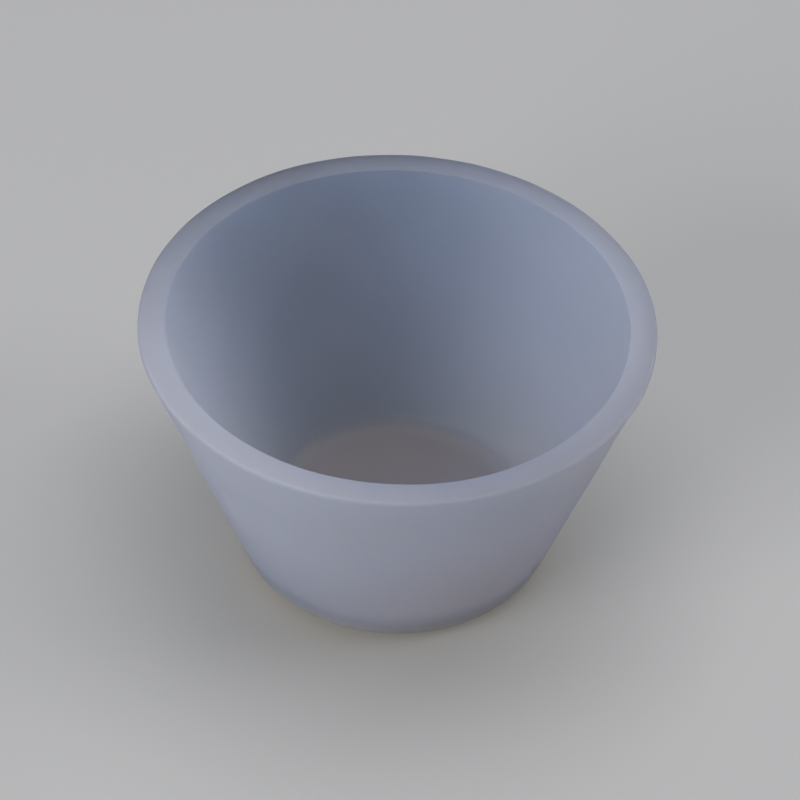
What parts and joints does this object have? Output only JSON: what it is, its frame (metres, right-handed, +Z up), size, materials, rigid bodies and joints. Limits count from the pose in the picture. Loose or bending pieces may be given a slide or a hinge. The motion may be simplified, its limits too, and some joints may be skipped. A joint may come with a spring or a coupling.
{
  "type": "resin mixing cup",
  "caption": "Small tapered round silicone cup with a thick flat rim, for stirring casting resin; the cured leftovers peel out.",
  "frame": {"origin": "centre of the flat underside, on the surface that the cup stands on", "axes": "+Z up along the cup's axis and out of the mouth; -Y towards the viewer of the picture"},
  "size_m": [0.06, 0.06, 0.0344],
  "materials": {
    "silicone": "milky translucent silicone with a satin moulded surface"
  },
  "bodies": {
    "root": {"cup": "silicone"}
  },
  "joints": []
}
